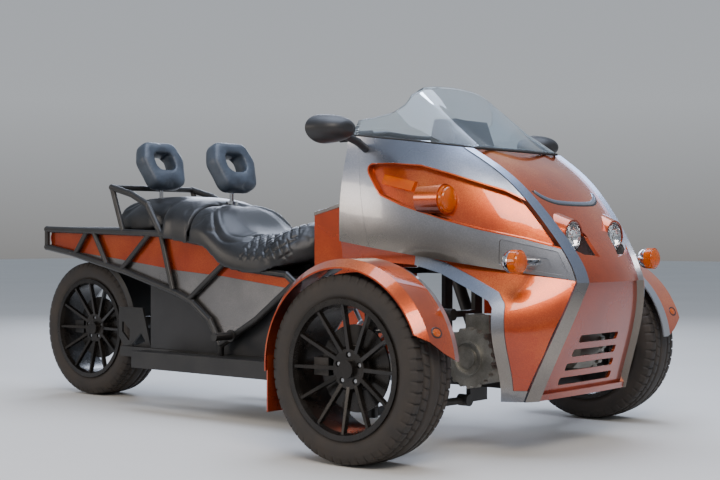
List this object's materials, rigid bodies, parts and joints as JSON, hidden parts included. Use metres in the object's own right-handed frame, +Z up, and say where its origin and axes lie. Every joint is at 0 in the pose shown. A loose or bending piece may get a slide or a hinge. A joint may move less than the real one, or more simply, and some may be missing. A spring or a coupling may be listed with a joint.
{
  "type": "three wheeled car",
  "caption": "Open tandem three wheeler with steered front wheels under arched fenders, a slatted nose, a bent windshield, a saddle between tube side frames and a single-sided rear arm.",
  "frame": {"origin": "bottom centre of the whole vehicle's box, on the ground", "axes": "+X to the vehicle's left, +Y to its rear along its length, +Z up"},
  "size_m": [1.583, 2.808, 1.1989],
  "materials": {
    "tyre": "matte",
    "black_wheel": "satin",
    "cast_metal": "satin",
    "orange_paint": "metallic gloss",
    "silver_paint": "metallic gloss",
    "black_frame": "satin",
    "drive_metal": "cast satin",
    "bright_steel": "satin",
    "rubber": "matte",
    "black_plastic": "matte",
    "windshield_glass": "clear",
    "chrome": "polished",
    "lamp_glass": "clear",
    "amber_lens": "clear gloss",
    "red_lens": "clear gloss",
    "mirror_glass": "polished",
    "black_leather": "soft satin",
    "grey_pad": "soft satin"
  },
  "bodies": {
    "chassis": {"wishbones": "black_frame", "drive_units": "drive_metal", "dampers": "bright_steel", "swing_arm": "black_frame", "rear_fender": "black_plastic", "nose_panel": "orange_paint", "nose_ribbons": "silver_paint", "lower_nose_panel": "orange_paint", "side_fairings": "silver_paint", "inset_panels": "orange_paint", "lower_side_panels": "orange_paint", "wing_trims": "silver_paint", "windshield": "windshield_glass", "instrument_panel": "black_plastic", "lamp_bodies": "chrome", "headlamp_lenses": "lamp_glass", "amber_lenses": "amber_lens", "tail_lamps": "red_lens", "mirrors": "black_plastic", "mirror_glasses": "mirror_glass", "tube_frame": "black_frame", "main_frame": "black_frame", "battery_box": "black_plastic", "tail_box": "black_plastic", "upper_tail_panels": "orange_paint", "lower_tail_panels": "silver_paint", "running_boards": "black_frame", "console_sides": "orange_paint", "console_cover": "silver_paint", "seats": "black_leather", "backrest_pads": "grey_pad", "backrest_posts": "chrome"},
    "knuckle_right_body": {"knuckle_right": "cast_metal", "fender_right": "orange_paint"},
    "knuckle_left_body": {"knuckle_left": "cast_metal", "fender_left": "orange_paint"},
    "wheel_front_right": {"tyre_front_right": "tyre", "rim_front_right": "black_wheel"},
    "wheel_front_left": {"tyre_front_left": "tyre", "rim_front_left": "black_wheel"},
    "wheel_rear": {"tyre_rear": "tyre", "rim_rear": "black_wheel"},
    "rack": {"steering_rack": "bright_steel"},
    "bars": {"handlebar": "black_frame", "grips": "rubber"}
  },
  "joints": [
    {"name": "steer_right", "type": "hinge", "parent": "chassis", "child": "knuckle_right_body", "pos_m": [-0.6405, -0.916, 0.288], "axis": [0, 0, 1], "range_deg": [-28, 28]},
    {"name": "steer_left", "type": "hinge", "parent": "chassis", "child": "knuckle_left_body", "pos_m": [0.6405, -0.916, 0.288], "axis": [0, 0, 1], "range_deg": [-28, 28]},
    {"name": "rack_slide", "type": "slide", "parent": "chassis", "child": "rack", "axis": [1, 0, 0], "range_m": [-0.053, 0.053]},
    {"name": "bar_turn", "type": "hinge", "parent": "chassis", "child": "bars", "pos_m": [0, -0.586, 1], "axis": [0, 0.3746, 0.9272], "range_deg": [-28.1, 28.1]},
    {"name": "spin_front_right", "type": "hinge", "parent": "knuckle_right_body", "child": "wheel_front_right", "pos_m": [-0.6945, -0.916, 0.288], "axis": [1, 0, 0], "continuous": true},
    {"name": "spin_front_left", "type": "hinge", "parent": "knuckle_left_body", "child": "wheel_front_left", "pos_m": [0.6945, -0.916, 0.288], "axis": [1, 0, 0], "continuous": true},
    {"name": "spin_rear", "type": "hinge", "parent": "chassis", "child": "wheel_rear", "pos_m": [0, 1.116, 0.288], "axis": [1, 0, 0], "continuous": true}
  ],
  "couplings": [
    {"joint": "steer_left", "follows": "steer_right", "ratio": 1},
    {"joint": "rack_slide", "follows": "steer_right", "m_per_rad": -0.106},
    {"joint": "bar_turn", "follows": "steer_right", "ratio": 1}
  ]
}
